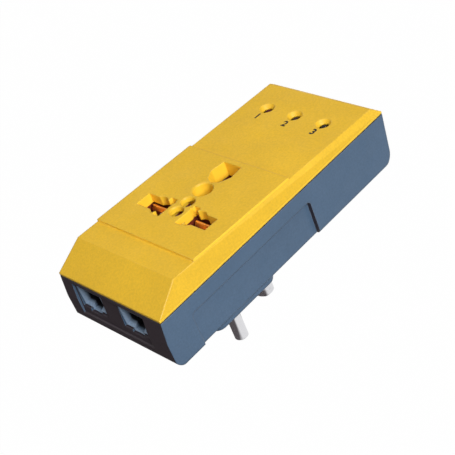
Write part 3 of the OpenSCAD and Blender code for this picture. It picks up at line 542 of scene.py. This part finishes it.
class InnerFinish(bpy.types.PropertyGroup):
    port: colour_prop("Ports", "Colour of the telephone port housings", (0.30, 0.42, 0.58))
    holder: colour_prop("Holder", "Colour of the contact holder", (0.17, 0.028, 0.012))
    board: colour_prop("Board", "Colour of the circuit boards", (0.03, 0.14, 0.05))
    lens_left: colour_prop("Left light", "Colour of the unlit left light", (0.07, 0.006, 0.006))
    lens_middle: colour_prop("Middle light", "Colour of the unlit middle light",
                             (0.04, 0.018, 0.006))
    lens_right: colour_prop("Right light", "Colour of the unlit right light",
                            (0.010, 0.008, 0.007))


class PrintedMarks(bpy.types.PropertyGroup):
    ink: colour_prop("Ink", "Colour of the printed numbers", (0.02, 0.018, 0.016))
    height: length_prop("Height", "Height of the numbers", 3.0 * MM, 1.0 * MM, 5.0 * MM)
    weight: length_prop("Weight", "How much bolder the numbers are than the plain face",
                        0.13 * MM, 0.0, 0.14 * MM)
    relief: length_prop("Relief", "Thickness of the ink", 0.03 * MM, 0.01 * MM, 0.1 * MM)
    steps: IntProperty(name="Steps", description="Steps in each curve of a number's outline",
                       default=4, min=1, max=12)
    forward: length_prop("Forward", "Distance from a light to its number", 5.4 * MM,
                         3.0 * MM, 9.0 * MM)
    first: IntProperty(name="First number", description="Number beside the first light",
                       default=1, min=0, max=7)


class StudioSetup(bpy.types.PropertyGroup):
    camera: FloatVectorProperty(name="Camera", description="Place of the camera",
                                subtype="TRANSLATION", unit="LENGTH", size=3, precision=5,
                                default=(0.27876, -0.17008, 0.26072))
    turn: FloatVectorProperty(name="Turn", description="Turn of the camera", subtype="EULER",
                              size=3, precision=5,
                              default=(math.radians(51.1778), math.radians(17.7545),
                                       math.radians(43.8654)))
    lens: FloatProperty(name="Lens", description="Focal length of the camera",
                        unit="CAMERA", default=93.977, min=10.0, max=300.0)
    key: power_prop("Key light", "Power of the light from the side", 7.9)
    top: power_prop("Top light", "Power of the light from above", 2.8)
    front: power_prop("Front light", "Power of the light from the front", 0.5)
    back: power_prop("Back light", "Power of the low light from behind", 5.0)
    fill: FloatProperty(name="Fill", description="Strength of the even light around",
                        default=0.10, min=0.0, max=5.0)
    floor: colour_prop("Floor", "Colour of the floor", (0.12, 0.105, 0.11))


# Operators

class DressCase(bpy.types.Operator):
    """Give the lid and the base their moulded plastic."""
    bl_idname = "protector.dress_case"
    bl_label = "Lid and base"

    def execute(self, context):
        looks = context.scene.case_finish
        cover = plastic("Yellow lid plastic", looks.lid, looks.lid_roughness,
                        depth=looks.grain, rub=0.12, radius=looks.lid_edge)
        # Painted light on the lid's upright walls
        paint_wall_light(cover, looks.walls)
        dress(cover, "lid")
        body = plastic("Blue-grey base plastic", looks.base, looks.base_roughness,
                       depth=looks.grain, rub=0.2, radius=looks.base_edge)
        tint_front(body, looks.front)
        # Painted shade in the groove under the lid
        paint_seam_shade(body)
        dress(body, "base")
        return {"FINISHED"}


class DressMetal(bpy.types.Operator):
    """Give pins, contacts, screws and the other metal pieces their finish."""
    bl_idname = "protector.dress_metal"
    bl_label = "Pins, contacts and screws"

    def execute(self, context):
        looks = context.scene.metal_finish
        dress(metal("Plated pin metal", looks.pins, looks.pin_roughness, dull=0.2),
              "line_pin", "neutral_pin", "earth_pin")
        dress(metal("Rolled brass", looks.brass, roughness=0.3, lines=1.4),
              "line_contact", "neutral_contact", "earth_contact")
        dress(metal("Zinc-plated steel", looks.steel, roughness=0.34, lines=0.6),
              "case_screws", "clamp_screws", "carrier_screws", "board_screws", "relay_yoke",
              "relay_armature")
        for name, colour, roughness, lines, nodes in INNER_METALS:
            dress(metal(name, colour, roughness, lines), *nodes)
        return {"FINISHED"}


class DressInside(bpy.types.Operator):
    """Give the ports, lights, boards and the other inner plastic pieces their finish."""
    bl_idname = "protector.dress_inside"
    bl_label = "Ports, lights and inner pieces"

    def execute(self, context):
        looks = context.scene.inner_finish
        housing = plastic("Port housing plastic", looks.port, roughness=0.42)
        # Painted shade deep inside the ports
        paint_port_shade(housing)
        dress(housing, "port_in", "port_out")
        dress(plastic("Dark red holder plastic", looks.holder, roughness=0.5),
              "contact_carrier", "pin_clamp")
        dress(plastic("Circuit board lacquer", looks.board, roughness=0.3, grain=0.4,
                      Coat_Weight=0.3), "main_board", "port_board")
        lenses = (looks.lens_left, looks.lens_middle, looks.lens_right)
        for lamp, name, lens in zip(LAMPS, LENS_NAMES, lenses):
            dress(plastic(name, lens, roughness=0.2, grain=0.1, Specular_IOR_Level=0.2), lamp)
        for name, colour, roughness, grain, nodes in INNER_PLASTICS:
            dress(plastic(name, colour, roughness, grain), *nodes)
        return {"FINISHED"}


def number_mesh(text, marks):
    """A number as a thin plate of the height in the settings, with its middle at the origin."""
    curve = bpy.data.curves.new("number", "FONT")
    curve.body = text
    curve.align_x = "CENTER"
    curve.align_y = "CENTER"
    curve.size = 1.0 / DIGIT_SHARE
    curve.resolution_u = marks.steps
    curve.offset = marks.weight / marks.height
    curve.extrude = marks.relief / marks.height / 2
    writing = bpy.data.objects.new("number", curve)
    bpy.context.collection.objects.link(writing)
    bpy.context.view_layer.update()
    mesh = bpy.data.meshes.new_from_object(writing)
    bpy.data.objects.remove(writing)
    bpy.data.curves.remove(curve)
    mesh.transform(Matrix.Scale(marks.height, 4))
    return mesh


class PrintNumbers(bpy.types.Operator):
    """Print the numbers in front of the three lights."""
    bl_idname = "protector.print_numbers"
    bl_label = "Numbers of the lights"

    def execute(self, context):
        marks = context.scene.printed_marks
        lid = NODES["lid"].data
        surface = BVHTree.FromPolygons([vertex.co for vertex in lid.vertices],
                                       [face.vertices for face in lid.polygons])
        ink = plastic("Printed ink", marks.ink, roughness=0.5, grain=0.5, depth=INK_DEPTH,
                      rub=0.05, Specular_IOR_Level=0.15)
        for order, lamp in enumerate(LAMPS):
            low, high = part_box(lamp)
            above = Vector(((low[0] + high[0]) / 2, (low[1] + high[1]) / 2 - marks.forward, 1.0))
            point, normal, _, _ = surface.ray_cast(above, Vector(DOWN))
            tilt = Vector(UP).rotation_difference(normal).to_matrix().to_4x4()
            mesh = number_mesh(str(marks.first + order), marks)
            mesh.transform(Matrix.Translation(point) @ tilt
                           @ Matrix.Translation((0.0, 0.0, INK_SEAT * marks.relief)))
            mesh.materials.clear()
            mesh.materials.append(ink)
            piece = bpy.data.objects.new("light_number_%d" % (marks.first + order), mesh)
            bpy.context.collection.objects.link(piece)
            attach(piece, "housing")
        return {"FINISHED"}


def backdrop_share(tree, straight, mirrored):
    """How much of the backdrop's own white a ray sees, straight or in a reflection."""
    path = tree.nodes.new("ShaderNodeLightPath")
    seen = math_node(tree, "MAXIMUM", path.outputs["Is Camera Ray"],
                     path.outputs["Is Transmission Ray"])
    return math_node(tree, "MAXIMUM", math_node(tree, "MULTIPLY", seen, straight),
                     math_node(tree, "MULTIPLY", path.outputs["Is Glossy Ray"], mirrored))


def mirrored_floor(tree):
    """How white the floor is in reflections, so that the pins get their dark sides."""
    right = along(tree, "Object", ACROSS_PICTURE, LEFT_DARK)
    stripe = math_node(tree, "MULTIPLY", along(tree, "Object", ACROSS_PICTURE, STRIPE_NEAR),
                       along(tree, "Object", ACROSS_PICTURE, STRIPE_FAR))
    stripe = math_node(tree, "MULTIPLY", stripe,
                       along(tree, "Object", INTO_PICTURE, STRIPE_START))
    bright = math_node(tree, "MULTIPLY", right, math_node(tree, "SUBTRACT", 1.0, stripe))
    return spread(tree, bright, (0.0, 1.0), FLOOR_MIRRORED)


def floor_paper(colour):
    """Paper that is seen white, bounces a little light, and is clear from below."""
    paper = bpy.data.materials.new("White paper floor")
    paper.use_nodes = True
    tree = paper.node_tree
    shader = tree.nodes["Principled BSDF"]
    shader.inputs["Roughness"].default_value = 0.9
    shader.inputs["Specular IOR Level"].default_value = 0.1
    place = tree.nodes.new("ShaderNodeTexCoord").outputs["Object"]
    fibre = noise(tree, place, FIBRE_SCALE, detail=4.0, rough=0.6)
    tree.links.new(blend(tree, spread(tree, fibre, NOISE_MIDDLE, FLOOR_FIBRE),
                         solid(colour), darker(colour, FIBRE_DARKENING)),
                   shader.inputs["Base Color"])
    white = tree.nodes.new("ShaderNodeEmission")
    top = shader_mix(tree, backdrop_share(tree, FLOOR_WHITE, mirrored_floor(tree)), shader, white)
    clear = tree.nodes.new("ShaderNodeBsdfTransparent")
    below = tree.nodes.new("ShaderNodeNewGeometry").outputs["Backfacing"]
    both = shader_mix(tree, below, top, clear)
    tree.links.new(both.outputs[0], tree.nodes["Material Output"].inputs["Surface"])
    return paper


def lay_floor(colour):
    mesh = bpy.data.meshes.new("floor")
    form = bmesh.new()
    bmesh.ops.create_grid(form, x_segments=1, y_segments=1, size=FLOOR_HALF)
    bmesh.ops.translate(form, verts=form.verts, vec=(0.0, 0.0, CAD_BOX[0][2] - FLOOR_DROP))
    form.to_mesh(mesh)
    form.free()
    mesh.materials.append(floor_paper(colour))
    floor = bpy.data.objects.new("floor", mesh)
    bpy.context.collection.objects.link(floor)


def even_world(strength):
    """Soft warm light from all round, and white where the backdrop itself is seen."""
    world = bpy.data.worlds.new("Even light")
    world.use_nodes = True
    tree = world.node_tree
    soft = tree.nodes["Background"]
    soft.inputs["Color"].default_value = solid(WARM)
    soft.inputs["Strength"].default_value = strength
    white = tree.nodes.new("ShaderNodeBackground")
    white.inputs["Color"].default_value = solid(WHITE)
    mix = shader_mix(tree, backdrop_share(tree, WORLD_WHITE, WORLD_MIRRORED), soft, white)
    tree.links.new(mix.outputs[0], tree.nodes["World Output"].inputs["Surface"])
    return world


def area_light(name, place, aim, width, power, mirrored):
    lamp = bpy.data.lights.new(name, "AREA")
    lamp.energy = power
    lamp.shape = "SQUARE"
    lamp.size = width
    holder = bpy.data.objects.new(name, lamp)
    holder.location = place
    holder.rotation_euler = (Vector(aim) - Vector(place)).to_track_quat("-Z", "Y").to_euler()
    holder.visible_glossy = mirrored
    bpy.context.collection.objects.link(holder)


def camera_at(place, turn, lens):
    eye = bpy.data.cameras.new("camera")
    eye.sensor_width = 36.0
    eye.lens = lens
    eye.clip_start = 0.01
    holder = bpy.data.objects.new("camera", eye)
    holder.location = place
    holder.rotation_euler = turn
    bpy.context.collection.objects.link(holder)
    return holder


class SetStudio(bpy.types.Operator):
    """Set the floor, the even white around it, the lights and the camera."""
    bl_idname = "protector.set_studio"
    bl_label = "Floor, lights and camera"

    def execute(self, context):
        looks = context.scene.studio_setup
        lay_floor(looks.floor)
        context.scene.world = even_world(looks.fill)
        for name, place, aim, width, setting, mirrored in LIGHTS:
            area_light(name, place, aim, width, getattr(looks, setting), mirrored)
        context.scene.camera = camera_at(looks.camera, looks.turn, looks.lens)
        context.scene.view_settings.view_transform = "Standard"
        return {"FINISHED"}


# Each group of settings, with the operator that uses it
SECTIONS = (("case_finish", CaseFinish, DressCase), ("metal_finish", MetalFinish, DressMetal),
            ("inner_finish", InnerFinish, DressInside),
            ("printed_marks", PrintedMarks, PrintNumbers),
            ("studio_setup", StudioSetup, SetStudio))


class ProtectorPanel(bpy.types.Panel):
    """Lists the settings of the voltage protector and what uses them."""
    bl_idname = "VIEW3D_PT_protector"
    bl_label = "Voltage protector"
    bl_space_type = "VIEW_3D"
    bl_region_type = "UI"
    bl_category = "Voltage protector"

    def draw(self, context):
        for name, settings, operator in SECTIONS:
            box = self.layout.box()
            values = getattr(context.scene, name)
            for key in settings.__annotations__:
                box.prop(values, key)
            box.operator(operator.bl_idname)


def register():
    for name, settings, operator in SECTIONS:
        bpy.utils.register_class(settings)
        setattr(bpy.types.Scene, name, PointerProperty(type=settings))
        bpy.utils.register_class(operator)
    bpy.utils.register_class(ProtectorPanel)


def unregister():
    bpy.utils.unregister_class(ProtectorPanel)
    for name, settings, operator in reversed(SECTIONS):
        bpy.utils.unregister_class(operator)
        delattr(bpy.types.Scene, name)
        bpy.utils.unregister_class(settings)


def main():
    register()
    edge_group()
    moulded_group()
    metal_group()
    bpy.ops.protector.dress_case()
    bpy.ops.protector.dress_metal()
    bpy.ops.protector.dress_inside()
    bpy.ops.protector.print_numbers()
    bpy.ops.protector.set_studio()
    bpy.context.view_layer.update()


if __name__ == "__main__":
    main()
